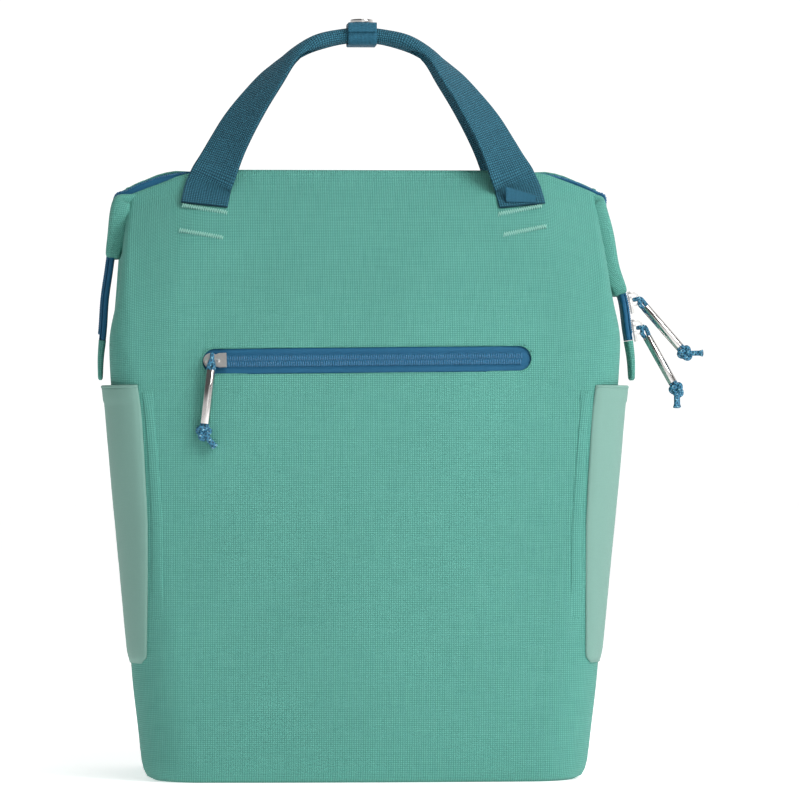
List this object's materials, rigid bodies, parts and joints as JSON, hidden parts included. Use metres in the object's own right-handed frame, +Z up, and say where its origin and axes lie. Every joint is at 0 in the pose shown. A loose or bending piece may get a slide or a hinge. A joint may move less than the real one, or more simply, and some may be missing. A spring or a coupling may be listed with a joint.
{
  "type": "cooler backpack",
  "caption": "Soft insulated backpack with a zipped ridge top, side pockets, a zipped front pocket, joined webbing handles and shoulder straps.",
  "frame": {"origin": "centre of the flat underside of the base", "axes": "+Z up towards the handles, the front with the zipped pocket faces -Y, +X to the right of someone who looks at the front"},
  "size_m": [0.405, 0.2493, 0.5024],
  "materials": {
    "body_cloth": "coated plain weave",
    "pocket_cloth": "smooth stretch knit",
    "webbing": "ribbed webbing",
    "zip_cloth": "zip tape",
    "metal": "polished",
    "buckle_plastic": "satin"
  },
  "bodies": {
    "root": {"base_panel": "body_cloth", "front_panel": "body_cloth", "back_panel": "body_cloth", "side_panel_left": "body_cloth", "side_panel_right": "body_cloth", "pocket_left": "pocket_cloth", "pocket_right": "pocket_cloth", "end_fold_left": "body_cloth", "end_fold_right": "body_cloth", "zip_end_left": "zip_cloth", "zip_end_right": "zip_cloth", "end_tab_left": "body_cloth", "end_tab_right": "body_cloth", "main_zip_tape": "zip_cloth", "main_zip_coil": "zip_cloth", "handle_front": "webbing", "handle_back": "webbing", "handle_keeper": "webbing", "keeper_snap": "metal", "handle_tab": "zip_cloth", "front_zip_tape": "zip_cloth", "front_zip_coil": "zip_cloth", "front_slider": "metal", "front_pull_cord": "webbing", "front_pull_tube": "metal", "main_upper_slider": "metal", "main_upper_pull_cord": "webbing", "main_upper_pull_tube": "metal", "main_lower_slider": "metal", "main_lower_pull_cord": "webbing", "main_lower_pull_tube": "metal", "strap_yoke": "webbing", "strap_pad_left": "body_cloth", "strap_buckle_left": "buckle_plastic", "strap_loop_left": "webbing", "strap_web_left": "webbing", "strap_pad_right": "body_cloth", "strap_buckle_right": "buckle_plastic", "strap_loop_right": "webbing", "strap_web_right": "webbing"}
  },
  "joints": []
}
